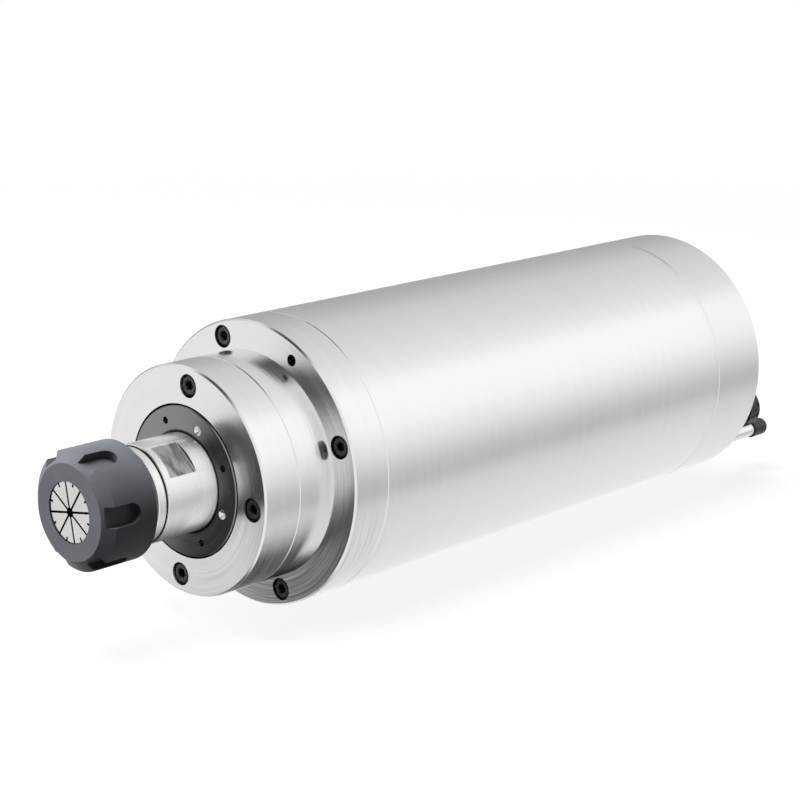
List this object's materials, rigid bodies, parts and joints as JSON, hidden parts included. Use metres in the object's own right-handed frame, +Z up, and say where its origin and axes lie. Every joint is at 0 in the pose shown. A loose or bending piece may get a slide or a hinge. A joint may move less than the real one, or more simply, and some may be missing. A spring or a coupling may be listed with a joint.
{
  "type": "motor spindle",
  "caption": "Water-cooled motor spindle: round steel body with stepped flange nose, slotted collet nut, wrench flats, rear water nozzles and cable gland.",
  "frame": {"origin": "on the spindle axis, at the front face of the flange", "axes": "+X along the axis from the collet nose to the rear face, +Z up with the spindle lying on its side"},
  "size_m": [0.433, 0.125, 0.125],
  "materials": {
    "satin_steel": "fine turned and brushed stainless steel",
    "turned_steel": "turned steel faces with fine concentric lines",
    "shaft_steel": "ground bright steel",
    "black_oxide": "black oxide, semi matt",
    "ring_black": "blackened turned steel",
    "collet_steel": "ground spring steel",
    "screw_black": "black oxide alloy steel",
    "bearing_steel": "polished bearing steel",
    "cage_resin": "woven phenolic resin",
    "spring_steel": "blued spring steel",
    "jacket_aluminium": "machined aluminium",
    "lamination_steel": "stacked electrical steel sheets",
    "copper": "enamelled copper wire",
    "cage_aluminium": "cast aluminium",
    "balance_brass": "turned brass",
    "nozzle_steel": "bright stainless tube",
    "seal_rubber": "black nitrile rubber",
    "cap_rubber": "soft black rubber",
    "gland_nylon": "black nylon",
    "lead_sleeve": "woven glass sleeving"
  },
  "bodies": {
    "housing": {"barrel": "satin_steel", "rear_cover": "satin_steel", "front_flange": "turned_steel", "front_cover": "turned_steel", "flange_screws": "screw_black", "front_cover_screws": "screw_black", "rear_cover_screws": "screw_black", "ground_screw": "screw_black", "rear_bearing_housing": "turned_steel", "water_jacket": "jacket_aluminium", "jacket_seals": "seal_rubber", "stator_core": "lamination_steel", "stator_windings": "copper", "motor_leads": "lead_sleeve", "front_bearing_outer_rings": "bearing_steel", "rear_bearing_outer_rings": "bearing_steel", "outer_bearing_spacer": "shaft_steel", "preload_spring": "spring_steel", "power_gland_body": "gland_nylon", "power_gland_nut": "gland_nylon", "power_gland_insert": "seal_rubber", "water_inlet_nozzle": "nozzle_steel", "water_outlet_nozzle": "nozzle_steel", "water_inlet_seal": "seal_rubber", "water_outlet_seal": "seal_rubber"},
    "rotor": {"shaft": "shaft_steel", "labyrinth_ring": "ring_black", "balance_screws": "screw_black", "front_bearing_inner_rings": "bearing_steel", "rear_bearing_inner_rings": "bearing_steel", "inner_bearing_spacer": "shaft_steel", "front_lock_nut": "black_oxide", "rear_lock_nut": "black_oxide", "rotor_core": "lamination_steel", "rotor_cage": "cage_aluminium", "rotor_balance_rings": "balance_brass"},
    "front_ball_sets": {"front_bearing_balls": "bearing_steel", "front_bearing_cages": "cage_resin"},
    "rear_ball_sets": {"rear_bearing_balls": "bearing_steel", "rear_bearing_cages": "cage_resin"},
    "collet": {"collet": "collet_steel"},
    "nut": {"clamping_nut": "black_oxide", "extractor_ring": "shaft_steel"},
    "inlet_cap": {"water_inlet_cap": "cap_rubber"},
    "outlet_cap": {"water_outlet_cap": "cap_rubber"}
  },
  "joints": [
    {"name": "spindle_spin", "type": "hinge", "parent": "housing", "child": "rotor", "pos_m": [0, 0, 0], "axis": [1, 0, 0], "continuous": true},
    {"name": "front_ball_orbit", "type": "hinge", "parent": "housing", "child": "front_ball_sets", "pos_m": [0.002, 0, 0], "axis": [1, 0, 0], "continuous": true},
    {"name": "rear_ball_orbit", "type": "hinge", "parent": "housing", "child": "rear_ball_sets", "pos_m": [0.239, 0, 0], "axis": [1, 0, 0], "continuous": true},
    {"name": "collet_draw", "type": "slide", "parent": "rotor", "child": "collet", "axis": [-1, 0, 0], "range_m": [0, 0.012]},
    {"name": "nut_turn", "type": "hinge", "parent": "collet", "child": "nut", "pos_m": [-0.0855, 0, 0], "axis": [-1, 0, 0], "range_deg": [0, 2880]},
    {"name": "inlet_cap_pull", "type": "slide", "parent": "housing", "child": "inlet_cap", "axis": [1, 0, 0], "range_m": [0, 0.04]},
    {"name": "outlet_cap_pull", "type": "slide", "parent": "housing", "child": "outlet_cap", "axis": [1, 0, 0], "range_m": [0, 0.04]}
  ],
  "couplings": [
    {"joint": "front_ball_orbit", "follows": "spindle_spin", "ratio": 0.413},
    {"joint": "rear_ball_orbit", "follows": "spindle_spin", "ratio": 0.415},
    {"joint": "nut_turn", "follows": "collet_draw", "rad_per_m": 4188.8}
  ]
}
